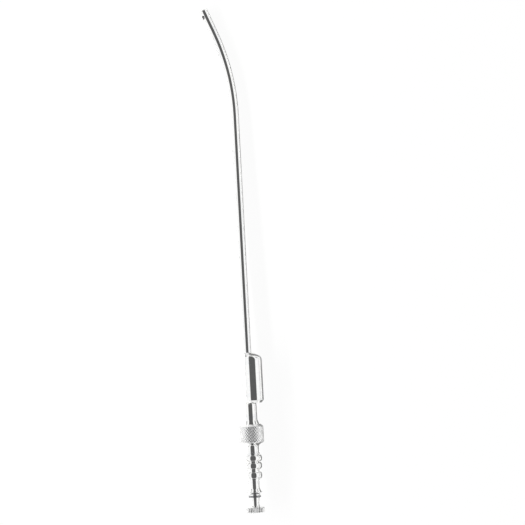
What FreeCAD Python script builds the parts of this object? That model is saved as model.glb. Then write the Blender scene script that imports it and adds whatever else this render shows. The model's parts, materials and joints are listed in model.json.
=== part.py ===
# Surgical suction tube: a bent steel tube with a side eye near its open mouth, soldered into a
# barrel that sits off its axis. Behind the barrel come a knurled collar and a ribbed nipple for
# the hose, and the knurled head of a cleaning stylet stands out of the tail.
#
# Each piece is drawn about the line of the bore, which runs along +Y, from its own rear end at
# Y = 0. The tip bends towards -X. The pieces are then strung along the line and laid down as the
# whole thing comes to rest: on the collar, the barrel and the edge of the mouth.
import FreeCAD, Part
import math
import os

import Sketcher
from FreeCAD import Matrix, Placement, Rotation, Vector

# Sizes in millimetres and degrees, from the tail to the tip
SIZES = [
    # stylet
    ("knob_radius", 3.75, "disc of the stylet's head, over the knurl"),
    ("knob_thickness", 2.1, "the disc along the axis"),
    ("knob_groove_count", 28, "straight grooves round the disc"),
    ("knob_groove_depth", 0.22, "how deep they are cut"),
    ("flare_radius", 2.7, "where the waist meets the disc"),
    ("flare_length", 0.95, "from the disc to the narrow end of the waist"),
    ("waist_narrow_radius", 1.4, "waist beside the flare"),
    ("waist_wide_radius", 1.9, "waist where it meets the nipple"),
    ("waist_length", 3.1, "tapered part of the waist"),
    ("wire_radius", 0.6, "wire of the stylet"),
    ("wire_seat", 4.0, "length of wire held in the head"),
    ("wire_short", 1.2, "how far the wire stops before the mouth"),
    # nipple
    ("passage_radius", 1.2, "bore of the nipple, collar and barrel"),
    ("lip_radius", 2.5, "lip at the end of the nipple"),
    ("lip_length", 0.75, "thickness of the lip"),
    ("lip_gap_radius", 2.15, "neck between the lip and the barb"),
    ("lip_gap_length", 0.6, "its length"),
    ("barb_radius", 3.1, "sharp crest of the barb"),
    ("barb_rear_length", 0.85, "steep side of the barb, towards the tail"),
    ("barb_front_length", 1.4, "gentle side of the barb"),
    ("stem_radius", 2.15, "thin stem in front of the barb"),
    ("stem_length", 3.5, "its length"),
    ("rib_root_radius", 2.4, "root between the ribs"),
    ("rib_root_length", 0.6, "plain root between the stem and the first rib"),
    ("rib_rear_gap", 1.2, "root between the first and the second rib"),
    ("rib_front_gap", 0.4, "root between the second and the third rib"),
    ("rib_hub_gap", 0.35, "root between the third rib and the hub"),
    ("rib_radius", 3.45, "crest of the rib nearest the tail"),
    ("rib_growth", 0.15, "how much larger each next rib is"),
    ("rib_length", 2.7, "one rib along the axis"),
    ("rib_chamfer", 0.4, "both edges of a rib"),
    ("nipple_spigot_radius", 1.75, "end of the nipple that is soldered into the hub"),
    ("nipple_spigot_length", 3.5, "its length"),
    ("solder_gap", 0.03, "film of solder round every seat"),
    # collar
    ("hub_rim_radius", 2.9, "raised rim at the rear of the hub"),
    ("hub_rim_length", 0.5, "its width"),
    ("hub_radius", 2.65, "hub behind the collar"),
    ("hub_length", 2.9, "hub from the rim to the bevel"),
    ("bevel_radius", 4.05, "smooth bevel where it meets the knurl"),
    ("bevel_length", 1.15, "its length"),
    ("collar_radius", 4.95, "collar over the points of the knurl"),
    ("collar_rear_chamfer", 0.5, "rear edge of the knurled band"),
    ("collar_front_chamfer", 1.0, "front edge of the knurled band"),
    ("knurl_length", 7.6, "whole knurled band"),
    ("knurl_count", 26, "diamonds round the collar"),
    ("knurl_rows", 6, "diamonds along the collar"),
    ("knurl_depth", 0.3, "from the points to the grooves"),
    ("cone_radius", 3.4, "smooth front cone where it leaves the knurl"),
    ("cone_length", 1.2, "its length"),
    ("neck_foot_radius", 2.9, "foot of the neck, at the cone"),
    ("neck_foot_length", 0.7, "short flare at the foot"),
    ("neck_radius", 2.65, "plain neck"),
    ("neck_length", 6.25, "from the foot to the chamfer"),
    ("neck_chamfer", 0.6, "front edge of the neck"),
    ("collar_spigot_radius", 1.45, "end of the collar that is soldered into the barrel"),
    ("collar_spigot_length", 5.0, "its length"),
    # barrel
    ("barrel_radius", 4.1, "barrel"),
    ("barrel_offset", 1.65, "from the line of the bore to the barrel's own axis"),
    ("barrel_length", 18.7, "from its rear face to the shoulder"),
    ("barrel_chamfer", 0.6, "rear edge"),
    ("shoulder_length", 1.9, "slanted shoulder along the axis"),
    ("shoulder_radius", 1.95, "small end of the shoulder, round the tube"),
    # tube
    ("tube_radius", 1.65, "outside of the drawn tube"),
    ("tube_bore", 1.2, "inside of the drawn tube"),
    ("tube_seat", 6.0, "length of tube held in the barrel"),
    ("tube_straight", 97.5, "from the shoulder to the bend"),
    ("bend_radius", 90.0, "centre line of the bend"),
    ("bend_angle", 22.1, "how far the tip is turned"),
    ("tip_length", 11.0, "straight end after the bend"),
    ("mouth_chamfer", 0.3, "outer edge of the mouth"),
    ("eye_radius", 0.8, "side eye"),
    ("eye_distance", 3.1, "from the mouth to the middle of the eye"),
    ("eye_turn", 57.0, "eye turned from straight up towards the inside of the bend"),
]

document = FreeCAD.newDocument("suction_tube")
sheet = document.addObject("Spreadsheet::Sheet", "Sizes")
for row, (alias, number, meaning) in enumerate(SIZES, start=1):
    sheet.set(f"A{row}", meaning)
    sheet.set(f"B{row}", str(number))
    sheet.setAlias(f"B{row}", alias)
document.recompute()


def amount(expression):
    """The number that an expression on the sheet gives now."""
    return float(sheet.evalExpression(str(expression)))


def size(name):
    """The expression for one size on the sheet."""
    return f"Sizes.{name}"


def total(*names):
    """The expression for several sizes added up."""
    return "(" + " + ".join(size(name) for name in names) + ")"


class Outline:
    """Half section of a turned piece: radius across, way along the axis upwards."""

    def __init__(self, radius):
        self.way = "0"
        self.points = [(radius, self.way)]

    def out(self, radius):
        """A flat face, to another radius."""
        self.points.append((radius, self.way))

    def on(self, length, radius):
        """Along the axis by a length, to a radius there."""
        self.way = f"{self.way} + {length}"
        self.points.append((radius, self.way))

    def rib(self, length, crest, chamfer):
        """A rib with upright sides and chamfered edges, which ends at the root radius again."""
        root = self.points[-1][0]
        side = f"{crest} - {chamfer}"
        self.out(side)
        self.on(chamfer, crest)
        self.on(f"({length} - 2 * {chamfer})", crest)
        self.on(chamfer, side)
        self.out(root)

    def inside(self, way, radius):
        """A point of the bore, given by its place along the axis."""
        self.points.append((radius, way))


def datum(body, role):
    """One of the body's own planes or axes."""
    return next(item for item in body.Origin.OriginFeatures if item.Role == role)


def sketch_on(body, name, plane, station=None):
    """An empty sketch on one of the body's own planes, or at a station along the axis."""
    sketch = body.newObject("Sketcher::SketchObject", name)
    sketch.AttachmentSupport = [(datum(body, plane), "")]
    sketch.MapMode = "FlatFace"
    if station is not None:
        sketch.setExpression(".AttachmentOffset.Base.z", f"-({station})")
    return sketch


def fix(sketch, index, point, across, along):
    """Tie a point of the sketch to the sheet, measured from the origin."""
    for kind, axis, expression in (("DistanceX", -2, across), ("DistanceY", -1, along)):
        if expression == "0":
            sketch.addConstraint(Sketcher.Constraint("PointOnObject", index, point, axis))
            continue
        number = amount(expression)
        made = sketch.addConstraint(Sketcher.Constraint(kind, -1, 1, index, point, number))
        sketch.setExpression(f"Constraints[{made}]", expression)


def draw(sketch, points):
    """A closed outline through the points, with every point tied to the sheet."""
    places = [Vector(amount(across), amount(along), 0) for across, along in points]
    count = len(points)
    for index in range(count):
        sketch.addGeometry(Part.LineSegment(places[index], places[(index + 1) % count]))
    for index in range(count):
        following = (index + 1) % count
        sketch.addConstraint(Sketcher.Constraint("Coincident", index, 2, following, 1))
    for index, (across, along) in enumerate(points):
        fix(sketch, index, 1, across, along)


def draw_circle(sketch, radius, across="0"):
    """A circle on the sketch's own horizontal line."""
    circle = Part.Circle(Vector(amount(across), 0, 0), Vector(0, 0, 1), amount(radius))
    index = sketch.addGeometry(circle)
    fix(sketch, index, 3, across, "0")
    made = sketch.addConstraint(Sketcher.Constraint("Radius", index, amount(radius)))
    sketch.setExpression(f"Constraints[{made}]", radius)


def turned(body, name, outline, kind="PartDesign::Revolution"):
    """Turn an outline about the line of the bore, as a solid or as a cut."""
    sketch = sketch_on(body, f"{name}_outline", "XY_Plane")
    draw(sketch, outline.points)
    feature = body.newObject(kind, name)
    feature.Profile = sketch
    feature.ReferenceAxis = (sketch, ["V_Axis"])
    feature.Angle = 360
    return feature


def edges_where(shape, test):
    """Names of the edges whose every sampled point passes the test."""
    names = []
    for number, edge in enumerate(shape.Edges, start=1):
        if all(test(point) for point in edge.discretize(7)):
            names.append(f"Edge{number}")
    return names


def make_stylet_knob():
    """Head of the stylet: grooved disc, flare and tapered waist."""
    body = document.addObject("PartDesign::Body", "stylet_knob")
    shape = Outline("0")
    shape.out(size("knob_radius"))
    shape.on(size("knob_thickness"), size("knob_radius"))
    shape.out(size("flare_radius"))
    shape.on(size("flare_length"), size("waist_narrow_radius"))
    shape.on(size("waist_length"), size("waist_wide_radius"))
    shape.out(size("wire_radius"))
    seat = f"{shape.way} - {size('wire_seat')}"
    shape.inside(seat, size("wire_radius"))
    shape.inside(seat, "0")
    turned(body, "knob_turning", shape)

    rim = size("knob_radius")
    depth = size("knob_groove_depth")
    sketch = sketch_on(body, "knob_groove_section", "XZ_Plane")
    draw(sketch, [
        (f"{rim} - {depth}", "0"),
        (f"{rim} + {depth}", f"2 * {depth}"),
        (f"{rim} + {depth}", f"-2 * {depth}"),
    ])
    groove = body.newObject("PartDesign::Pocket", "knob_groove")
    groove.Profile = sketch
    groove.setExpression("Length", size("knob_thickness"))
    pattern = body.newObject("PartDesign::PolarPattern", "knob_grooves")
    pattern.Originals = [groove]
    pattern.Axis = (datum(body, "Y_Axis"), [""])
    pattern.Angle = 360
    pattern.setExpression("Occurrences", size("knob_groove_count"))
    body.Tip = pattern
    return body


def make_hose_nipple():
    """Nipple: end lip, barb, thin stem, three ribs that grow, and its spigot."""
    body = document.addObject("PartDesign::Body", "hose_nipple")
    shape = Outline(size("passage_radius"))
    shape.out(size("lip_radius"))
    shape.on(size("lip_length"), size("lip_radius"))
    shape.out(size("lip_gap_radius"))
    shape.on(size("lip_gap_length"), size("lip_gap_radius"))
    shape.on(size("barb_rear_length"), size("barb_radius"))
    shape.on(size("barb_front_length"), size("stem_radius"))
    shape.on(size("stem_length"), size("stem_radius"))
    shape.out(size("rib_root_radius"))
    shape.on(size("rib_root_length"), size("rib_root_radius"))
    for number, gap in enumerate(("rib_rear_gap", "rib_front_gap", "rib_hub_gap")):
        crest = f"{size('rib_radius')} + {number} * {size('rib_growth')}"
        shape.rib(size("rib_length"), crest, size("rib_chamfer"))
        shape.on(size(gap), size("rib_root_radius"))
    length = shape.way
    shape.out(size("nipple_spigot_radius"))
    shape.on(size("nipple_spigot_length"), size("nipple_spigot_radius"))
    shape.out(size("passage_radius"))
    turned(body, "nipple_turning", shape)
    return body, length


def make_collar_turning():
    """The collar without its knurl: rim, hub, bevel, core, cone, neck and spigot."""
    body = document.addObject("PartDesign::Body", "collar_turning")
    seat = f"{size('nipple_spigot_radius')} + {size('solder_gap')}"
    core = f"{size('collar_radius')} - 2 * {size('knurl_depth')}"
    shape = Outline(seat)
    shape.out(size("hub_rim_radius"))
    shape.on(size("hub_rim_length"), size("hub_rim_radius"))
    shape.out(size("hub_radius"))
    shape.on(size("hub_length"), size("hub_radius"))
    shape.on(size("bevel_length"), size("bevel_radius"))
    band_start = shape.way
    shape.on(size("collar_rear_chamfer"), core)
    straight = f"{size('knurl_length')} - {total('collar_rear_chamfer', 'collar_front_chamfer')}"
    shape.on(f"({straight})", core)
    shape.on(size("collar_front_chamfer"), size("cone_radius"))
    shape.on(size("cone_length"), size("neck_foot_radius"))
    shape.on(size("neck_foot_length"), size("neck_radius"))
    shape.on(size("neck_length"), size("neck_radius"))
    shape.on(size("neck_chamfer"), f"{size('neck_radius')} - {size('neck_chamfer')}")
    length = shape.way
    shape.out(size("collar_spigot_radius"))
    shape.on(size("collar_spigot_length"), size("collar_spigot_radius"))
    shape.out(size("passage_radius"))
    shape.inside(size("nipple_spigot_length"), size("passage_radius"))
    shape.inside(size("nipple_spigot_length"), seat)
    turned(body, "collar_outline", shape)
    return body, band_start, length


def knurled_band(start):
    """Ring with diamond knurling, which follows the chamfers of the collar at both ends."""
    count = 2 * int(amount(size("knurl_count")))
    rows = 2 * int(amount(size("knurl_rows")))
    length = amount(size("knurl_length"))
    radius = amount(size("collar_radius"))
    rear = amount(size("collar_rear_chamfer"))
    front = amount(size("collar_front_chamfer"))
    depth = amount(size("knurl_depth"))

    def corner(column, line):
        """Points and grooves alternate, as on a chessboard."""
        way = length * line / rows
        drop = max(rear - way, front - (length - way), 0)
        low = depth if (column + line) % 2 else 0
        reach = radius - drop - low
        angle = 2 * math.pi * (column % count) / count
        return Vector(reach * math.cos(angle), start + way, reach * math.sin(angle))

    faces = []
    for line in range(rows):
        for column in range(count):
            corners = [
                corner(column, line),
                corner(column + 1, line),
                corner(column + 1, line + 1),
                corner(column, line + 1),
            ]
            first = 1 if (column + line) % 2 == 0 else 0
            for shift in (0, 2):
                three = [corners[(first + shift + step) % 4] for step in range(3)]
                faces.append(Part.Face(Part.makePolygon(three + three[:1])))
    for line in (0, rows):
        ring = [corner(column, line) for column in range(count)]
        faces.append(Part.Face(Part.makePolygon(ring + ring[:1])))
    band = Part.makeSolid(Part.makeShell(faces))
    inner = (amount(size("bevel_radius")) + amount(size("hub_radius"))) / 2
    hole = Part.makeCylinder(inner, length, Vector(0, start, 0), Vector(0, 1, 0))
    return band.cut(hole)


def make_grip_collar():
    """The collar: its turning, joined with the knurled band that is rolled into it."""
    turning, band_start, length = make_collar_turning()
    document.recompute()
    band = document.addObject("Part::Feature", "collar_knurl")
    band.Shape = knurled_band(amount(band_start))
    collar = document.addObject("Part::MultiFuse", "grip_collar")
    collar.Shapes = [turning, band]
    collar.Refine = False
    return collar, band_start, length


def make_thumb_barrel():
    """Barrel off the line of the bore, with a shoulder that slants down to the tube."""
    body = document.addObject("PartDesign::Body", "thumb_barrel")
    rear = sketch_on(body, "barrel_section", "XZ_Plane")
    draw_circle(rear, size("barrel_radius"), size("barrel_offset"))
    barrel = body.newObject("PartDesign::Pad", "barrel")
    barrel.Profile = rear
    barrel.Reversed = True
    barrel.setExpression("Length", size("barrel_length"))

    wide = sketch_on(body, "shoulder_wide", "XZ_Plane", size("barrel_length"))
    draw_circle(wide, size("barrel_radius"), size("barrel_offset"))
    small = sketch_on(body, "shoulder_small", "XZ_Plane", total("barrel_length", "shoulder_length"))
    draw_circle(small, size("shoulder_radius"))
    shoulder = body.newObject("PartDesign::AdditiveLoft", "shoulder")
    shoulder.Profile = wide
    shoulder.Sections = [small]
    shoulder.Ruled = True
    document.recompute()

    chamfer = body.newObject("PartDesign::Chamfer", "rear_edge")
    chamfer.Base = (shoulder, edges_where(shoulder.Shape, lambda point: abs(point.y) < 1e-4))
    chamfer.setExpression("Size", size("barrel_chamfer"))

    rear_seat = f"{size('collar_spigot_radius')} + {size('solder_gap')}"
    tube_seat = f"{size('tube_radius')} + {size('solder_gap')}"
    length = total("barrel_length", "shoulder_length")
    shape = Outline("0")
    shape.out(rear_seat)
    shape.on(size("collar_spigot_length"), rear_seat)
    shape.out(size("passage_radius"))
    shape.inside(f"{length} - {size('tube_seat')}", size("passage_radius"))
    shape.inside(f"{length} - {size('tube_seat')}", tube_seat)
    shape.inside(length, tube_seat)
    shape.inside(length, "0")
    bore = turned(body, "barrel_bore", shape, "PartDesign::Groove")
    body.Tip = bore
    return body, length


def draw_centre_line(sketch, straight, end):
    """The line of the tube: straight, round the bend towards -X, and straight to its end."""
    run = amount(straight)
    radius = amount(size("bend_radius"))
    angle = math.radians(amount(size("bend_angle")))
    last = amount(end)
    bend_start = Vector(0, run, 0)
    centre = Vector(-radius, run, 0)
    bend_end = centre + Vector(radius * math.cos(angle), radius * math.sin(angle), 0)
    tip = bend_end + Vector(-last * math.sin(angle), last * math.cos(angle), 0)
    sketch.addGeometry(Part.LineSegment(Vector(0, 0, 0), bend_start))
    circle = Part.Circle(centre, Vector(0, 0, 1), radius)
    sketch.addGeometry(Part.ArcOfCircle(circle, 0, angle))
    sketch.addGeometry(Part.LineSegment(bend_end, tip))
    sketch.addConstraint(Sketcher.Constraint("Coincident", 0, 1, -1, 1))
    sketch.addConstraint(Sketcher.Constraint("Tangent", 0, 2, 1, 1))
    sketch.addConstraint(Sketcher.Constraint("Tangent", 1, 2, 2, 1))
    sketch.addConstraint(Sketcher.Constraint("Vertical", 0))
    for kind, values, expression in (
        ("DistanceY", (0, 1, 0, 2, run), straight),
        ("Radius", (1, radius), size("bend_radius")),
        ("Angle", (0, 2, angle), f"{size('bend_angle')} * 1 deg"),
        ("Distance", (2, last), end),
    ):
        made = sketch.addConstraint(Sketcher.Constraint(kind, *values))
        sketch.setExpression(f"Constraints[{made}]", expression)
    return tip, Vector(-math.sin(angle), math.cos(angle), 0)


def piped(body, name, radii, straight, end):
    """Sweep one circle, or a ring of two, along the bent centre line."""
    section = sketch_on(body, f"{name}_section", "XZ_Plane")
    for radius in radii:
        draw_circle(section, radius)
    line = sketch_on(body, f"{name}_line", "XY_Plane")
    tip, way = draw_centre_line(line, straight, end)
    pipe = body.newObject("PartDesign::AdditivePipe", name)
    pipe.Profile = section
    pipe.Spine = (line, [])
    document.recompute()
    return pipe, tip, way


def chamfer_end(body, name, feature, tip, way, radius, width):
    """Chamfer the outer edge of the swept end."""
    reach = amount(radius)

    def on_rim(point):
        arm = point - tip
        return abs(arm.dot(way)) < 1e-3 and abs(arm.Length - reach) < 1e-3

    edge = body.newObject("PartDesign::Chamfer", name)
    edge.Base = (feature, edges_where(feature.Shape, on_rim))
    edge.setExpression("Size", width)


def make_suction_tube():
    """Drawn tube with its bend, its chamfered mouth and the side eye."""
    body = document.addObject("PartDesign::Body", "suction_tube")
    straight = total("tube_seat", "tube_straight")
    radii = (size("tube_radius"), size("tube_bore"))
    pipe, mouth, way = piped(body, "tube", radii, straight, size("tip_length"))
    chamfer_end(body, "mouth", pipe, mouth, way, size("tube_radius"), size("mouth_chamfer"))
    eye = body.newObject("PartDesign::SubtractiveCylinder", "eye")
    eye.setExpression("Radius", size("eye_radius"))
    eye.setExpression("Height", f"2 * {size('tube_radius')}")
    angle = f"({size('bend_angle')} * 1 deg)"
    back = f"({size('tip_length')} - {size('eye_distance')})"
    across = f"-{size('bend_radius')} * (1 - cos({angle})) - {back} * sin({angle})"
    along = f"{straight} + {size('bend_radius')} * sin({angle}) + {back} * cos({angle})"
    place = f"create(<<vector>>; {across}; {along}; 0)"
    turn = f"create(<<rotation>>; {size('bend_angle')}; -{size('eye_turn')}; 0)"
    eye.setExpression("Placement", f"create(<<placement>>; {place}; {turn})")
    return body, mouth, way


def make_stylet_wire(straight):
    """Wire of the stylet, along the line of the tube to just short of its mouth."""
    body = document.addObject("PartDesign::Body", "stylet_wire")
    end = f"({size('tip_length')} - {size('wire_short')})"
    piped(body, "wire", [size("wire_radius")], straight, end)
    return body


def lowest_point(foot, up):
    """The lowest point of a round edge, when up is the direction given."""
    centre, way, radius = foot
    across = (up - way * way.dot(up)).normalize()
    return centre - across * radius


def resting_turn(feet):
    """Rotation that lays the thing down on three round edges, with +Y still ahead."""
    up = Vector(0, 0, 1)
    for _ in range(30):
        first, second, third = (lowest_point(foot, up) for foot in feet)
        up = (second - first).cross(third - first).normalize()
    right = Vector(0, 1, 0).cross(up).normalize()
    ahead = up.cross(right)
    rows = Matrix(right.x, right.y, right.z, 0, ahead.x, ahead.y, ahead.z, 0, up.x, up.y, up.z, 0)
    return Rotation(rows)


# The pieces, each in its own frame
knob = make_stylet_knob()
nipple, nipple_length = make_hose_nipple()
collar, band_start, collar_length = make_grip_collar()
barrel, barrel_length = make_thumb_barrel()
tube, mouth, mouth_way = make_suction_tube()

# Where each piece's own origin lies along the line, from the tail
knob_length = total("knob_thickness", "flare_length", "waist_length")
collar_station = f"{knob_length} + {nipple_length}"
barrel_station = f"{collar_station} + {collar_length}"
tube_station = f"{barrel_station} + {barrel_length} - {size('tube_seat')}"
wire_station = f"{knob_length} - {size('wire_seat')}"
bend_station = f"{barrel_station} + {barrel_length} + {size('tube_straight')}"
wire = make_stylet_wire(f"{bend_station} - ({wire_station})")
stations = [
    (knob, "0"),
    (nipple, knob_length),
    (collar, collar_station),
    (barrel, barrel_station),
    (tube, tube_station),
    (wire, wire_station),
]
document.recompute()

# Laid down at rest on the collar, the barrel and the mouth, over the middle of the footprint
collar_edge = f"{collar_station} + {band_start} + {size('knurl_length')}"
collar_edge = amount(f"{collar_edge} - {size('collar_front_chamfer')}")
barrel_edge = amount(f"{barrel_station} + {size('barrel_length')}")
barrel_centre = Vector(amount(size("barrel_offset")), barrel_edge, 0)
along = Vector(0, 1, 0)
mouth_edge = along * amount(tube_station) + mouth - mouth_way * amount(size("mouth_chamfer"))
turn = resting_turn([
    (Vector(0, collar_edge, 0), along, amount(size("collar_radius"))),
    (barrel_centre, along, amount(size("barrel_radius"))),
    (mouth_edge, mouth_way, amount(size("tube_radius"))),
])
strung = []
for piece, station in stations:
    shape = piece.Shape.copy()
    shape.translate(along * amount(station))
    strung.append(shape)
lying = Part.makeCompound(strung)
lying.Placement = Placement(Vector(), turn)
box = lying.optimalBoundingBox(False, False)
laid = Placement(Vector(-box.Center.x, -box.Center.y, -box.ZMin), turn)
for piece, station in stations:
    piece.Placement = laid.multiply(Placement(along * amount(station), Rotation()))
    piece.Label = piece.Name
document.recompute()

for item in document.Objects:
    if "Invalid" in item.State or "Error" in item.State:
        raise RuntimeError(f"{item.Name} is {item.State}")
for piece, station in stations:
    if piece.Shape.isNull() or not piece.Shape.isValid():
        raise RuntimeError(f"{piece.Label} has no sound shape")
    if len(piece.Shape.Solids) != 1:
        raise RuntimeError(f"{piece.Label} is not one solid")

os.makedirs("parts", exist_ok=True)
for piece, station in stations:
    piece.Shape.exportStep(f"parts/{piece.Label}.step")
    print(f"{piece.Label}: {piece.Shape.Volume:.1f} cubic mm")
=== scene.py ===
# A bent steel suction tube, lying on a white table and seen from straight above.
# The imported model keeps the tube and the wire. The barrel, the collar, the nipple and the
# stylet's head are turned again here with soft edges, rounded ribs and fine knurling.
import bmesh
import bpy
import json
import math
from mathutils import Matrix, Vector


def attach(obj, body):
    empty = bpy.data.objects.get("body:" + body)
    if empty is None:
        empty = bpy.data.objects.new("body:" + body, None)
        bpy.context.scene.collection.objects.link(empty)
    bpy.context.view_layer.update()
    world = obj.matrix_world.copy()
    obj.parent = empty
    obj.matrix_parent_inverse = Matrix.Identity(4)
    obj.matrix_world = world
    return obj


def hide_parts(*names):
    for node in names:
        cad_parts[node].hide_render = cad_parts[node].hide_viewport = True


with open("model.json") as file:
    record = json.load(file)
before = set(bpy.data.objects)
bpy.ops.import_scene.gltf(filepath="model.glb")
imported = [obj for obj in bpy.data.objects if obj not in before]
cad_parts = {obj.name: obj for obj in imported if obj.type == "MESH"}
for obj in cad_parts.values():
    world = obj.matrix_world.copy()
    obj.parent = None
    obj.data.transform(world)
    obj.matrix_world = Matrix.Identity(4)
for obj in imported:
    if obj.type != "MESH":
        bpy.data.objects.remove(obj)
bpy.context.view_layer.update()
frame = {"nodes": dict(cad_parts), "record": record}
mounts = {mount["name"]: mount for mount in frame["record"]["mounts"]}
mm = 0.001

# The line of the bore runs from the tail to the tip, and the barrel stands out to one side of it
headLength = 6.15  # mm, the stylet's head, from the tail to the nipple
nippleEnd = Vector(mounts["hose_end"]["pos_m"])
alongBore = Vector(mounts["barrel_grip"]["axis"]).normalized()
barrelArm = Vector(mounts["barrel_grip"]["pos_m"]) - nippleEnd
sideways = (barrelArm - alongBore * barrelArm.dot(alongBore)).normalized()
upwards = sideways.cross(alongBore)
tailEnd = nippleEnd - alongBore * headLength * mm
boreTurn = Matrix((sideways, alongBore, upwards)).transposed()


def placeAt(station):
    # from a piece's own millimetres, with +Y along the bore, to where it lies
    start = tailEnd + alongBore * station * mm
    return Matrix.Translation(start) @ boreTurn.to_4x4() @ Matrix.Scale(mm, 4)


def linear(hexColour):
    # an sRGB hex value as a linear colour
    parts = [int(hexColour[start:start + 2], 16) / 255 for start in (0, 2, 4)]
    return [part / 12.92 if part <= 0.04045 else ((part + 0.055) / 1.055) ** 2.4 for part in parts] + [1]


def addNode(tree, kind, inputs=None, **settings):
    # a node with its settings, and its inputs given as values or as other nodes' outputs
    node = tree.nodes.new(kind)
    for name, value in settings.items():
        setattr(node, name, value)
    for key, value in (inputs or {}).items():
        if isinstance(value, bpy.types.NodeSocket):
            tree.links.new(value, node.inputs[key])
        else:
            node.inputs[key].default_value = value
    return node


def calculate(tree, operation, *values):
    # the output of a Math node
    return addNode(tree, "ShaderNodeMath", dict(enumerate(values)), operation=operation).outputs[0]


def blendColour(tree, factor, first, second, blend="MIX"):
    # the colour output of a Mix node
    inputs = {0: factor, 6: first, 7: second}
    return addNode(tree, "ShaderNodeMix", inputs, data_type="RGBA", blend_type=blend).outputs[2]


def ramped(tree, value, low, high, toLow, toHigh, curve="SMOOTHSTEP"):
    # a value moved from one range to another, and held at its ends
    inputs = {"Value": value, "From Min": low, "From Max": high, "To Min": toLow, "To Max": toHigh}
    return addNode(tree, "ShaderNodeMapRange", inputs, interpolation_type=curve).outputs[0]


def newMaterial(name):
    # an empty material with its shader and output, and Object coordinates in bore millimetres
    material = bpy.data.materials.new(name)
    material.use_nodes = True
    tree = material.node_tree
    tree.nodes.clear()
    shader = addNode(tree, "ShaderNodeBsdfPrincipled")
    addNode(tree, "ShaderNodeOutputMaterial", {"Surface": shader.outputs[0]})
    coordinates = addNode(tree, "ShaderNodeTexCoord")
    along = addNode(tree, "ShaderNodeMapping", {
        "Vector": coordinates.outputs["Object"],
        "Location": tailEnd,
        "Rotation": boreTurn.to_euler(),
        "Scale": (mm, mm, mm),
    }, vector_type="TEXTURE")
    return material, tree, shader, along.outputs[0]


# Surgical stainless steel, turned and then buffed to a mirror. It has the faint rings of the
# lathe and the thin grey smears that buffing leaves, so its reflections are crisp but not perfect.
mirrorSteel = {
    "colour": "F2F2F1",
    "smear": "E8E9EA",  # thinner polish
    "smearSize": 5.0,  # mm
    "smearFrom": 0.42,  # the noise level at which a smear begins, and where it is full
    "smearTo": 0.72,
    "drawnStretch": (1, 0.06, 1),  # streaks along the tube
    "turnedStretch": (0.25, 1, 0.25),  # rings round a turned piece
    "roughness": 0.05,
    "roughest": 0.13,
    "ringSpacing": 0.45,  # mm, coarser than the real 0.05 mm so that they show
    "ringHeight": 0.0006,  # mm
    "scratchSize": 0.35,  # mm
    "scratchHeight": 0.0005,  # mm
}


def makeMirrorSteel(name, values, drawn):
    # drawn tube has streaks along its length, and turned pieces have rings round them
    material, tree, shader, place = newMaterial(name)
    stretch = values["drawnStretch"] if drawn else values["turnedStretch"]
    smearPlace = addNode(tree, "ShaderNodeMapping", {"Vector": place, "Scale": stretch}).outputs[0]
    smear = addNode(tree, "ShaderNodeTexNoise", {
        "Vector": smearPlace, "Scale": 1 / values["smearSize"], "Detail": 5, "Roughness": 0.6,
    }).outputs[0]
    smeared = ramped(tree, smear, values["smearFrom"], values["smearTo"], 0, 1)
    scratch = addNode(tree, "ShaderNodeTexNoise", {
        "Vector": smearPlace, "Scale": 1 / values["scratchSize"], "Detail": 3, "Roughness": 0.7,
    }).outputs[0]
    parts = addNode(tree, "ShaderNodeSeparateXYZ", {"Vector": place})
    turns = calculate(tree, "MULTIPLY", parts.outputs[1], math.tau / values["ringSpacing"])
    wave = calculate(tree, "SINE", turns)
    ring = calculate(tree, "MULTIPLY", wave, 0 if drawn else values["ringHeight"])
    height = calculate(tree, "MULTIPLY_ADD", scratch, values["scratchHeight"], ring)
    bump = addNode(tree, "ShaderNodeBump", {"Height": height, "Distance": mm, "Strength": 1})
    colour = blendColour(tree, smeared, linear(values["colour"]), linear(values["smear"]))
    tree.links.new(colour, shader.inputs["Base Color"])
    roughness = ramped(tree, smeared, 0, 1, values["roughness"], values["roughest"])
    tree.links.new(roughness, shader.inputs["Roughness"])
    tree.links.new(bump.outputs[0], shader.inputs["Normal"])
    shader.inputs["Metallic"].default_value = 1
    return material


# Knurled steel after glass bead blasting: a fine matt grain that scatters light, with the tips
# of the knurl rubbed a little brighter and smoother by fingers, and a darker colour deeper in the grooves.
blastedSteel = {
    "tip": "F8F8F7",
    "flat": "EEEEEE",
    "groove": "BEBFC1",
    "tipRoughness": 0.2,
    "flatRoughness": 0.28,
    "grainSize": 0.12,  # mm, about twice the real bead marks so that it shows
    "grainHeight": 0.008,  # mm
}


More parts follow.
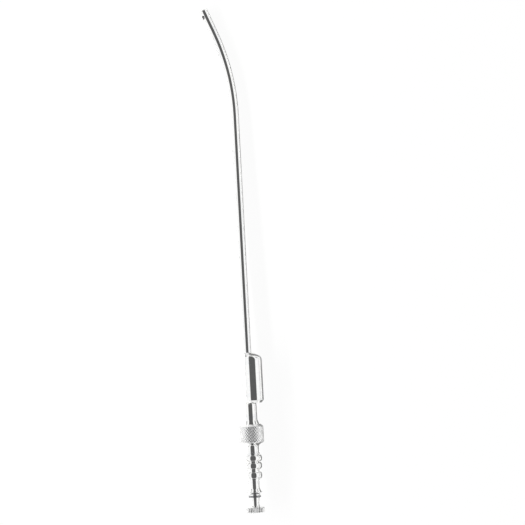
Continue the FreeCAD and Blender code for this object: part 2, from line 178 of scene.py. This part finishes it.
def makeBlastedSteel(name, values, topRadius, depth):
    # the distance from the bore's line tells a knurl's tip from its groove
    rubbedShare = 0.35  # of a groove's depth, measured down from its top
    deepeningShare = 0.5
    plainShares = (1.3, 1.1)  # the darker colour stops below the grooves
    patchScale = 0.6  # to the millimetre
    patchBlend = 0.25
    grainRoughness = 0.1
    material, tree, shader, place = newMaterial(name)
    parts = addNode(tree, "ShaderNodeSeparateXYZ", {"Vector": place})
    flatPlace = addNode(tree, "ShaderNodeCombineXYZ", {0: parts.outputs[0], 2: parts.outputs[2]})
    length = addNode(tree, "ShaderNodeVectorMath", {0: flatPlace.outputs[0]}, operation="LENGTH")
    reach = length.outputs["Value"]
    rubbed = ramped(tree, reach, topRadius - rubbedShare * depth, topRadius, 0, 1)
    deepening = ramped(tree, reach, topRadius - depth, topRadius - deepeningShare * depth, 1, 0)
    plainLow, plainHigh = [topRadius - share * depth for share in plainShares]
    knurled = ramped(tree, reach, plainLow, plainHigh, 0, 1)
    grain = addNode(tree, "ShaderNodeTexNoise", {
        "Vector": place, "Scale": 1 / values["grainSize"], "Detail": 2, "Roughness": 0.6,
    }).outputs[0]
    patch = addNode(tree, "ShaderNodeTexNoise", {
        "Vector": place, "Scale": patchScale, "Detail": 3,
    }).outputs[0]
    colour = blendColour(tree, rubbed, linear(values["flat"]), linear(values["tip"]))
    # the colour turns darker towards the bottom of each groove
    colour = blendColour(tree, calculate(tree, "MULTIPLY", deepening, knurled), colour, linear(values["groove"]))
    colour = blendColour(tree, ramped(tree, patch, 0.3, 0.7, 0, patchBlend), colour, linear(values["tip"]))
    tree.links.new(colour, shader.inputs["Base Color"])
    roughness = ramped(tree, rubbed, 0, 1, values["flatRoughness"], values["tipRoughness"])
    roughness = calculate(tree, "MULTIPLY_ADD", grain, grainRoughness, roughness)
    tree.links.new(roughness, shader.inputs["Roughness"])
    height = calculate(tree, "MULTIPLY", grain, values["grainHeight"])
    bump = addNode(tree, "ShaderNodeBump", {"Height": height, "Distance": mm, "Strength": 1})
    tree.links.new(bump.outputs[0], shader.inputs["Normal"])
    shader.inputs["Metallic"].default_value = 1
    return material


# Painted shade: the nipple's end lip is coloured dark to stand for the shadowed gap at the stylet's head.
lipPaintedShade = {
    "tip": "9A9B9D",
    "flat": "77787A",
    "groove": "636466",
    "tipRoughness": 0.4,
    "flatRoughness": 0.5,
    "grainSize": 0.12,  # mm
    "grainHeight": 0.006,  # mm
}


# Spring-hard steel wire as it leaves the die: long fine streaks, greyer than polished steel.
wireSteel = {
    "light": "BEBFC1",
    "dark": "8E8F92",
    "roughness": 0.28,
    "streakWidth": 0.08,  # mm
    "streakHeight": 0.004,  # mm
    "streakFrom": 0.35,  # the noise levels between which a streak goes from dark to light
    "streakTo": 0.65,
    "streakStretch": (1, 0.02, 1),
}


def makeWireSteel(name, values):
    material, tree, shader, place = newMaterial(name)
    stretched = addNode(tree, "ShaderNodeMapping", {
        "Vector": place, "Scale": values["streakStretch"],
    }).outputs[0]
    streak = addNode(tree, "ShaderNodeTexNoise", {
        "Vector": stretched, "Scale": 1 / values["streakWidth"], "Detail": 3,
    }).outputs[0]
    streaked = ramped(tree, streak, values["streakFrom"], values["streakTo"], 0, 1)
    colour = blendColour(tree, streaked, linear(values["dark"]), linear(values["light"]))
    height = calculate(tree, "MULTIPLY", streak, values["streakHeight"])
    bump = addNode(tree, "ShaderNodeBump", {"Height": height, "Distance": mm, "Strength": 1})
    tree.links.new(colour, shader.inputs["Base Color"])
    tree.links.new(bump.outputs[0], shader.inputs["Normal"])
    shader.inputs["Metallic"].default_value = 1
    shader.inputs["Roughness"].default_value = values["roughness"]
    return material


def softened(corners, steps=5):
    # an outline with its corners rounded; a corner is way, radius, softness and sideways offset
    legShare = 0.48  # a corner takes less than half of each line that meets it
    points = [Vector((corner[0], corner[1], corner[3] if len(corner) > 3 else 0)) for corner in corners]
    outline = []
    for index, point in enumerate(points):
        softness = corners[index][2]
        if softness == 0:
            outline.append(point)
            continue
        legs = []
        for neighbour in (points[index - 1], points[(index + 1) % len(points)]):
            leg = neighbour - point
            legs.append(point + leg.normalized() * min(softness, legShare * leg.length))
        for step in range(steps + 1):
            share = step / steps
            outline.append(legs[0].lerp(point, share).lerp(point.lerp(legs[1], share), share))
    return outline


def turnedMesh(name, outline, columns):
    # a closed outline turned about +Y, in millimetres
    mergeDistance = 1e-5  # mm, joins the points that lie on the axis
    shape = bmesh.new()
    rings = []
    for way, radius, offset in outline:
        ring = []
        for column in range(columns):
            angle = math.tau * column / columns
            spot = (offset + radius * math.cos(angle), way, radius * math.sin(angle))
            ring.append(shape.verts.new(spot))
        rings.append(ring)
    for ring, following in zip(rings, rings[1:] + rings[:1]):
        for column in range(columns):
            after = (column + 1) % columns
            shape.faces.new((ring[column], ring[after], following[after], following[column]))
    bmesh.ops.remove_doubles(shape, verts=shape.verts, dist=mergeDistance)
    bmesh.ops.recalc_face_normals(shape, faces=shape.faces)
    mesh = bpy.data.meshes.new(name)
    shape.to_mesh(mesh)
    shape.free()
    return mesh


def makeGrooveTree():
    # Geometry Nodes that cut crossed or straight grooves into a turned band
    topRounding = 0.15  # how softly a flat top meets the sides of its grooves
    tree = bpy.data.node_groups.new("cutGrooves", "GeometryNodeTree")
    tree.interface.new_socket("Geometry", in_out="INPUT", socket_type="NodeSocketGeometry")
    for name, kind in (
        ("Round", "NodeSocketInt"), ("Along", "NodeSocketInt"), ("Start", "NodeSocketFloat"),
        ("Length", "NodeSocketFloat"), ("Radius", "NodeSocketFloat"), ("Depth", "NodeSocketFloat"),
        ("Flat", "NodeSocketFloat"), ("Finish", "NodeSocketMaterial"),
    ):
        tree.interface.new_socket(name, in_out="INPUT", socket_type=kind)
    tree.interface.new_socket("Geometry", in_out="OUTPUT", socket_type="NodeSocketGeometry")
    given = addNode(tree, "NodeGroupInput").outputs
    spot = addNode(tree, "GeometryNodeInputPosition").outputs[0]
    x, y, z = addNode(tree, "ShaderNodeSeparateXYZ", {"Vector": spot}).outputs
    turn = calculate(tree, "DIVIDE", calculate(tree, "ARCTAN2", z, x), math.tau)
    column = calculate(tree, "MULTIPLY", turn, given["Round"])
    way = calculate(tree, "DIVIDE", calculate(tree, "SUBTRACT", y, given["Start"]), given["Length"])
    line = calculate(tree, "MULTIPLY", way, given["Along"])
    half = 0.5
    rises = []
    for operation in ("ADD", "SUBTRACT"):
        slanted = calculate(tree, "ADD", calculate(tree, operation, column, line), half)
        rises.append(calculate(tree, "PINGPONG", slanted, half))
    rise = calculate(tree, "DIVIDE", calculate(tree, "MINIMUM", *rises), half)
    slope = calculate(tree, "SUBTRACT", 1, given["Flat"])
    rise = calculate(tree, "SMOOTH_MIN", calculate(tree, "DIVIDE", rise, slope), 1, topRounding)
    cut = calculate(tree, "MULTIPLY", calculate(tree, "SUBTRACT", 1, rise), given["Depth"])
    limit = calculate(tree, "SUBTRACT", given["Radius"], cut)
    squares = [calculate(tree, "MULTIPLY", part, part) for part in (x, z)]
    reach = calculate(tree, "SQRT", calculate(tree, "ADD", *squares))
    shrink = calculate(tree, "DIVIDE", calculate(tree, "MINIMUM", reach, limit), reach)
    moved = addNode(tree, "ShaderNodeCombineXYZ", {
        0: calculate(tree, "MULTIPLY", x, shrink), 1: y, 2: calculate(tree, "MULTIPLY", z, shrink),
    })
    slack = 0.001  # mm
    inside = calculate(
        tree, "MULTIPLY",
        calculate(tree, "GREATER_THAN", way, -slack), calculate(tree, "LESS_THAN", way, 1 + slack),
    )
    cutShape = addNode(tree, "GeometryNodeSetPosition", {
        "Geometry": given["Geometry"], "Selection": inside, "Position": moved.outputs[0],
    })
    whole = addNode(tree, "GeometryNodeRealizeInstances", {"Geometry": cutShape.outputs[0]})
    finish = addNode(tree, "GeometryNodeSetMaterial", {
        "Geometry": whole.outputs[0], "Selection": inside, "Material": given["Finish"],
    })
    addNode(tree, "NodeGroupOutput", {"Geometry": finish.outputs[0]})
    return tree


def finishPiece(name, mesh, station, material, cadNode, grooves=None):
    # grooves and normals are worked out, the mesh is put in place, and it stands for its node
    sharpAngle = 40  # degrees
    mesh.materials.append(material)
    piece = bpy.data.objects.new(name, mesh)
    bpy.context.scene.collection.objects.link(piece)
    if grooves:
        cutter = piece.modifiers.new("grooves", "NODES")
        cutter.node_group = grooveTree
        for socket in grooveTree.interface.items_tree:
            if socket.in_out == "INPUT" and socket.name in grooves:
                cutter[socket.identifier] = grooves[socket.name]
    depsgraph = bpy.context.evaluated_depsgraph_get()
    whole = bpy.data.meshes.new_from_object(piece.evaluated_get(depsgraph))
    piece.modifiers.clear()
    piece.data = whole
    whole.shade_smooth()
    whole.set_sharp_from_angle(angle=math.radians(sharpAngle))
    weighted = piece.modifiers.new("normals", "WEIGHTED_NORMAL")
    weighted.keep_sharp = True
    depsgraph = bpy.context.evaluated_depsgraph_get()
    final = bpy.data.meshes.new_from_object(piece.evaluated_get(depsgraph))
    piece.modifiers.clear()
    piece.data = final
    final.transform(placeAt(station))
    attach(piece, "root")
    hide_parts(cadNode)


grooveTree = makeGrooveTree()

# Stylet's head: a flat disc with straight grooves, a flare and a waist that widens to the nipple
head = {
    "station": 0.0,
    "radius": 3.75,
    "thickness": 2.1,
    "chamfer": 0.25,
    "grooves": 28,
    "grooveDepth": 0.22,
    "flareRadius": 2.2,
    "flareLength": 0.95,
    "narrowRadius": 1.6,
    "wideRadius": 1.95,
    "grooveFlat": 0.25,  # share of the rim between two grooves that stays round
    "columnsPerGroove": 10,
    "rimSoftness": 0.1,
    "flareSoftness": 0.12,
    "waistSoftness": 0.9,
    "endSoftness": 0.08,
}


def makeHead(values, material, grooved):
    rim, thick, chamfer = values["radius"], values["thickness"], values["chamfer"]
    soft = values["rimSoftness"]
    waist = thick + values["flareLength"]
    outline = softened([
        (0, 0, 0),
        (0, rim - chamfer, soft),
        (chamfer, rim, soft),
        (thick - chamfer, rim, soft),
        (thick, rim - chamfer, soft),
        (thick, values["flareRadius"], values["flareSoftness"]),
        (waist, values["narrowRadius"], values["waistSoftness"]),
        (headLength, values["wideRadius"], values["endSoftness"]),
        (headLength, 0, 0),
    ])
    mesh = turnedMesh("styletHead", outline, values["grooves"] * values["columnsPerGroove"])
    finishPiece("styletHead", mesh, values["station"], material, "stylet_knob", {
        "Round": values["grooves"], "Along": 0, "Start": 0.0, "Length": thick,
        "Radius": rim, "Depth": values["grooveDepth"], "Flat": values["grooveFlat"],
        "Finish": grooved,
    })


# Nipple: a lip, a sharp barb, a thin stem and three round ribs that grow towards the collar
nipple = {
    "station": headLength,
    "bore": 1.2,
    "lipRadius": 2.5,
    "lipLength": 0.75,
    "lipShadeDepth": 0.1,  # depth for the ramps of the lip's painted shade
    "lipNeck": 2.15,
    "lipNeckLength": 0.6,
    "barbRadius": 3.1,
    "barbBack": 0.85,
    "barbFront": 1.4,
    "stemRadius": 2.15,
    "stemLength": 3.5,
    "rootRadius": 2.4,
    "rootLength": 0.6,
    "ribGaps": (1.2, 0.4, 0.35),  # root in front of each rib
    "ribRadius": 3.45,
    "ribGrowth": 0.15,
    "ribLength": 2.7,
    "ribRoundness": 0.45,  # 1 is an ellipse and 0 is square
    "ribSteps": 24,
    "spigotRadius": 1.75,
    "spigotLength": 3.5,
    "lipSoftness": 0.14,
    "stepSoftness": 0.06,
    "neckSoftness": 0.12,
    "barbSoftness": 0.07,
    "stemSoftness": 0.4,
    "cornerSteps": 8,
    "columns": 144,
}


def makeNipple(values, material, lipShadeMaterial):
    way = values["lipLength"]
    lip, step = values["lipSoftness"], values["stepSoftness"]
    corners = [
        (0, values["bore"], 0),
        (0, values["lipRadius"], lip),
        (way, values["lipRadius"], lip),
        (way, values["lipNeck"], step),
    ]
    way += values["lipNeckLength"]
    corners.append((way, values["lipNeck"], values["neckSoftness"]))
    way += values["barbBack"]
    corners.append((way, values["barbRadius"], values["barbSoftness"]))
    way += values["barbFront"]
    corners.append((way, values["stemRadius"], values["stemSoftness"]))
    way += values["stemLength"]
    corners += [(way, values["stemRadius"], step), (way, values["rootRadius"], step)]
    way += values["rootLength"]
    for number, gap in enumerate(values["ribGaps"]):
        crest = values["ribRadius"] + number * values["ribGrowth"]
        for part in range(values["ribSteps"] + 1):
            turn = math.pi * part / values["ribSteps"]
            rise = max(math.sin(turn), 0) ** values["ribRoundness"]
            ribWay = way + values["ribLength"] * (1 - math.cos(turn)) / 2
            corners.append((ribWay, values["rootRadius"] + (crest - values["rootRadius"]) * rise, 0))
        way += values["ribLength"] + gap
    end = way + values["spigotLength"]
    corners += [
        (way, values["rootRadius"], step),
        (way, values["spigotRadius"], 0),
        (end, values["spigotRadius"], 0),
        (end, values["bore"], 0),
    ]
    mesh = turnedMesh("hoseNipple", softened(corners, values["cornerSteps"]), values["columns"])
    # no groove is cut here: the band only gives the lip its painted shade
    finishPiece("hoseNipple", mesh, values["station"], material, "hose_nipple", {
        "Round": 1, "Along": 0, "Start": 0.0, "Length": values["lipLength"],
        "Radius": values["lipRadius"], "Depth": 0.0, "Flat": 0.0, "Finish": lipShadeMaterial,
    })
    return way


# Collar: hub with a raised rim, bevel, diamond knurl with chamfered ends, cone and plain neck
collar = {
    "seat": 1.78,
    "seatDepth": 3.5,
    "rimRadius": 2.9,
    "rimLength": 0.5,
    "hubRadius": 2.65,
    "hubLength": 2.9,
    "bevelRadius": 4.05,
    "bevelLength": 1.15,
    "radius": 4.935,
    "rearChamfer": 0.5,
    "frontChamfer": 1.0,
    "knurlLength": 7.6,
    "diamondsRound": 26,
    "diamondsAlong": 6,
    "knurlDepth": 0.14,
    "knurlFlat": 0.5,  # share of a diamond that is its flat top
    "stepsPerDiamond": 12,
    "coneRadius": 3.4,
    "coneLength": 1.2,
    "footRadius": 2.9,
    "footLength": 0.7,
    "neckRadius": 2.65,
    "neckLength": 6.85,
    "neckChamfer": 0.4,
    "spigotRadius": 1.45,
    "spigotLength": 5.0,
    "bore": 1.2,
    "rimSoftness": 0.1,
    "rimFootSoftness": 0.05,
    "hubSoftness": 0.7,
    "edgeSoftness": 0.06,
    "footSoftness": 0.4,
    "neckSoftness": 0.3,
}


def makeCollar(values, station, material, grooved):
    hubEnd = values["rimLength"] + values["hubLength"]
    bandStart = hubEnd + values["bevelLength"]
    rim, edge = values["rimSoftness"], values["edgeSoftness"]
    rear = softened([
        (0, values["seat"], 0),
        (0, values["rimRadius"], rim),
        (values["rimLength"], values["rimRadius"], rim),
        (values["rimLength"], values["hubRadius"], values["rimFootSoftness"]),
        (hubEnd, values["hubRadius"], values["hubSoftness"]),
        (bandStart, values["bevelRadius"], edge),
        (bandStart, values["radius"] - values["rearChamfer"], 0),
    ])
    band = []
    lines = values["diamondsAlong"] * values["stepsPerDiamond"]
    for line in range(lines + 1):
        way = values["knurlLength"] * line / lines
        back = values["rearChamfer"] - way
        front = values["frontChamfer"] - (values["knurlLength"] - way)
        band.append(Vector((bandStart + way, values["radius"] - max(back, front, 0), 0)))
    coneStart = bandStart + values["knurlLength"]
    footStart = coneStart + values["coneLength"]
    neckStart = footStart + values["footLength"]
    neckEnd = neckStart + values["neckLength"]
    end = neckEnd + values["spigotLength"]
    front = softened([
        (coneStart, values["coneRadius"], edge),
        (footStart, values["footRadius"], values["footSoftness"]),
        (neckStart, values["neckRadius"], values["neckSoftness"]),
        (neckEnd - values["neckChamfer"], values["neckRadius"], edge),
        (neckEnd, values["neckRadius"] - values["neckChamfer"], edge),
        (neckEnd, values["spigotRadius"], 0),
        (end, values["spigotRadius"], 0),
        (end, values["bore"], 0),
        (values["seatDepth"], values["bore"], 0),
        (values["seatDepth"], values["seat"], 0),
    ])
    columns = values["diamondsRound"] * values["stepsPerDiamond"]
    mesh = turnedMesh("gripCollar", rear[:-1] + band + front, columns)
    finishPiece("gripCollar", mesh, station, material, "grip_collar", {
        "Round": values["diamondsRound"], "Along": values["diamondsAlong"], "Start": bandStart,
        "Length": values["knurlLength"], "Radius": values["radius"], "Depth": values["knurlDepth"],
        "Flat": values["knurlFlat"], "Finish": grooved,
    })
    return neckEnd


# Barrel: a cylinder off the bore's line, whose shoulder slants down to the tube
barrel = {
    "radius": 4.095,
    "offset": 1.65,
    "length": 18.7,
    "rearRun": 1.1,
    "rearDrop": 0.9,
    "rearSoftness": 0.06,
    "edgeSoftness": 1.2,
    "footSoftness": 0.08,  # where the shoulder meets the tube
    "cornerSteps": 7,
    "shoulderLength": 1.9,
    "shoulderRadius": 1.95,
    "rearSeat": 1.48,
    "rearSeatDepth": 5.0,
    "bore": 1.2,
    "tubeSeat": 1.68,
    "tubeSeatDepth": 6.0,
    "columns": 160,
}


def makeBarrel(values, station, material):
    radius, offset = values["radius"], values["offset"]
    end = values["length"] + values["shoulderLength"]
    seatEnd = end - values["tubeSeatDepth"]
    outline = softened([
        (0, values["rearSeat"], 0),
        (0, radius - values["rearDrop"], values["rearSoftness"], offset),
        (values["rearRun"], radius, values["rearSoftness"], offset),
        (values["length"], radius, values["edgeSoftness"], offset),
        (end, values["shoulderRadius"], values["footSoftness"]),
        (end, values["tubeSeat"], 0),
        (seatEnd, values["tubeSeat"], 0),
        (seatEnd, values["bore"], 0),
        (values["rearSeatDepth"], values["bore"], 0),
        (values["rearSeatDepth"], values["rearSeat"], 0),
    ], values["cornerSteps"])
    mesh = turnedMesh("thumbBarrel", outline, values["columns"])
    finishPiece("thumbBarrel", mesh, station, material, "thumb_barrel")


print("stage: materials")
turnedFinish = makeMirrorSteel("turnedMirrorSteel", mirrorSteel, False)
drawnFinish = makeMirrorSteel("drawnMirrorSteel", mirrorSteel, True)
collarFinish = makeBlastedSteel("blastedCollarSteel", blastedSteel, collar["radius"], collar["knurlDepth"])
headFinish = makeBlastedSteel("blastedHeadSteel", blastedSteel, head["radius"], head["grooveDepth"])
# the lip's dark colour is painted shade for the gap at the stylet's head
lipShadeFinish = makeBlastedSteel("lipPaintedShadeSteel", lipPaintedShade, nipple["lipRadius"], nipple["lipShadeDepth"])
wireFinish = makeWireSteel("drawnWireSteel", wireSteel)

print("stage: turned pieces")
makeHead(head, turnedFinish, headFinish)
nippleLength = makeNipple(nipple, turnedFinish, lipShadeFinish)
collarStation = nipple["station"] + nippleLength
collarLength = makeCollar(collar, collarStation, turnedFinish, collarFinish)
barrelStation = collarStation + collarLength
makeBarrel(barrel, barrelStation, turnedFinish)

print("stage: packed pieces")
for nodeName, finish in (("suction_tube", drawnFinish), ("stylet_wire", wireFinish)):
    node = frame["nodes"][nodeName]
    node.data.materials.clear()
    node.data.materials.append(finish)

print("stage: table and light")
# The room that the steel shows is white, with a long dark strip overhead. A low dark panel in each
# corner draws the round forms when they are seen from the side. The camera sees plain white.
room = {
    "white": 1.12,
    "dark": 0.12,
    "floorLight": 0.2,  # what the room adds to the table
    "stripLeft": -34.0,  # degrees from the zenith, about +Y
    "stripRight": 39.0,
    "stripEdge": 4.0,
    "stripReach": 0.95,  # sine of how far it runs forwards and back
    "reachEdge": 0.015,
    "horizon": 0.78,  # the far walls are a little darker than the ceiling
    "wallHeight": 0.3,  # sine of the angle up to which they reach
    "panelNear": 0.5,  # the panels stand between these two sines of the way forwards or back
    "panelFar": 0.8,
    "panelHeight": 0.3,  # sine of the angle up to which they reach
    "panelEdge": 0.08,
    "panelLevel": 0.4,  # share of the white that is left there
}


def makeRoom(values):
    world = bpy.data.worlds.new("whiteRoom")
    bpy.context.scene.world = world
    world.use_nodes = True
    tree = world.node_tree
    tree.nodes.clear()
    ray = addNode(tree, "ShaderNodeTexCoord").outputs["Generated"]
    x, y, z = addNode(tree, "ShaderNodeSeparateXYZ", {"Vector": ray}).outputs
    lean = calculate(tree, "MULTIPLY", calculate(tree, "ARCTAN2", x, z), 180 / math.pi)
    edge = values["stripEdge"]
    left = ramped(tree, lean, values["stripLeft"] - edge / 2, values["stripLeft"] + edge / 2, 0, 1)
    right = ramped(tree, lean, values["stripRight"] - edge / 2, values["stripRight"] + edge / 2, 1, 0)
    reach = calculate(tree, "ABSOLUTE", y)
    endStart, endStop = values["stripReach"] - values["reachEdge"], values["stripReach"] + values["reachEdge"]
    ends = ramped(tree, reach, endStart, endStop, 1, 0)
    strip = calculate(tree, "MULTIPLY", calculate(tree, "MULTIPLY", left, right), ends)
    wall = ramped(tree, z, 0, values["wallHeight"], values["white"] * values["horizon"], values["white"])
    level = addNode(tree, "ShaderNodeMix", {0: strip, 2: wall, 3: values["dark"]}).outputs[0]
    soft = values["panelEdge"]
    near = ramped(tree, reach, values["panelNear"] - soft, values["panelNear"] + soft, 0, 1)
    far = ramped(tree, reach, values["panelFar"] - soft, values["panelFar"] + soft, 1, 0)
    low = ramped(tree, z, values["panelHeight"] - soft, values["panelHeight"] + soft, 1, 0)
    panels = calculate(tree, "MULTIPLY", calculate(tree, "MULTIPLY", near, far), low)
    shade = calculate(tree, "MULTIPLY_ADD", panels, values["panelLevel"] - 1, 1)
    level = calculate(tree, "MULTIPLY", level, shade)
    path = addNode(tree, "ShaderNodeLightPath").outputs
    mirrored = calculate(tree, "MAXIMUM", path["Is Glossy Ray"], path["Is Transmission Ray"])
    strength = addNode(tree, "ShaderNodeMix", {0: mirrored, 2: values["floorLight"], 3: level}).outputs[0]
    strength = addNode(tree, "ShaderNodeMix", {0: path["Is Camera Ray"], 2: strength, 3: 1.0}).outputs[0]
    background = addNode(tree, "ShaderNodeBackground", {"Color": (1, 1, 1, 1), "Strength": strength})
    addNode(tree, "ShaderNodeOutputWorld", {"Surface": background.outputs[0]})


# White laminate table. To the camera it is nearly all glow, which leaves a trace of the shadow,
# and the steel sees mostly the lit laminate.
table = {
    "colour": "F6F6F5",
    "size": 4.0,  # metres
    "seenGlow": 0.96,
    "mirroredGlow": 0.05,
}


def makeTable(values):
    half = values["size"] / 2
    mesh = bpy.data.meshes.new("table")
    corners = [(-half, -half, 0), (half, -half, 0), (half, half, 0), (-half, half, 0)]
    mesh.from_pydata(corners, [], [(0, 1, 2, 3)])
    plane = bpy.data.objects.new("table", mesh)
    bpy.context.scene.collection.objects.link(plane)
    material = bpy.data.materials.new("whiteLaminate")
    material.use_nodes = True
    tree = material.node_tree
    tree.nodes.clear()
    matt = addNode(tree, "ShaderNodeBsdfDiffuse", {"Color": linear(values["colour"])})
    glow = addNode(tree, "ShaderNodeEmission", {"Color": (1, 1, 1, 1), "Strength": 1.0})
    path = addNode(tree, "ShaderNodeLightPath").outputs
    mirrored = calculate(tree, "MAXIMUM", path["Is Glossy Ray"], path["Is Transmission Ray"])
    share = calculate(tree, "MULTIPLY", mirrored, values["mirroredGlow"])
    share = calculate(tree, "MULTIPLY_ADD", path["Is Camera Ray"], values["seenGlow"], share)
    mixed = addNode(tree, "ShaderNodeMixShader", {0: share, 1: matt.outputs[0], 2: glow.outputs[0]})
    addNode(tree, "ShaderNodeOutputMaterial", {"Surface": mixed.outputs[0]})
    mesh.materials.append(material)


# Two long soft lamps light the table from both sides, the stronger one from the left
lamps = {
    "leftSoftbox": {"lean": -60, "distance": 1.0, "power": 33.0, "size": (0.1, 2.0)},
    "rightSoftbox": {"lean": 58, "distance": 1.2, "power": 1.0, "size": (0.5, 1.8)},
}


def makeLamps(lampList):
    for name, values in lampList.items():
        data = bpy.data.lights.new(name, "AREA")
        data.shape = "RECTANGLE"
        data.size, data.size_y = values["size"]
        data.energy = values["power"]
        lamp = bpy.data.objects.new(name, data)
        lean = math.radians(values["lean"])
        lamp.location = (values["distance"] * math.sin(lean), 0, values["distance"] * math.cos(lean))
        lamp.rotation_euler = (0, lean, 0)
        lamp.visible_glossy = False  # the steel shows the room and the table, and no lamp
        bpy.context.scene.collection.objects.link(lamp)


# The camera looks straight down, and the instrument leans a little to the left in the picture
view = {
    "aim": (11.39, -1.7, 4.0),  # mm, the middle of the picture
    "width": 215.25,  # mm across the picture
    "lean": 3.05,  # degrees
    "lens": 180.0,
    "sensor": 36.0,
}


def makeCamera(values):
    data = bpy.data.cameras.new("overheadCamera")
    data.lens = values["lens"]
    data.sensor_width = values["sensor"]
    camera = bpy.data.objects.new("overheadCamera", data)
    distance = values["width"] * mm * values["lens"] / values["sensor"]
    camera.location = Vector(values["aim"]) * mm + Vector((0, 0, distance))
    camera.rotation_euler = (0, 0, -math.radians(values["lean"]))
    bpy.context.scene.collection.objects.link(camera)
    bpy.context.scene.camera = camera


makeRoom(room)
makeTable(table)
makeLamps(lamps)
makeCamera(view)
bpy.context.scene.view_settings.view_transform = "Standard"
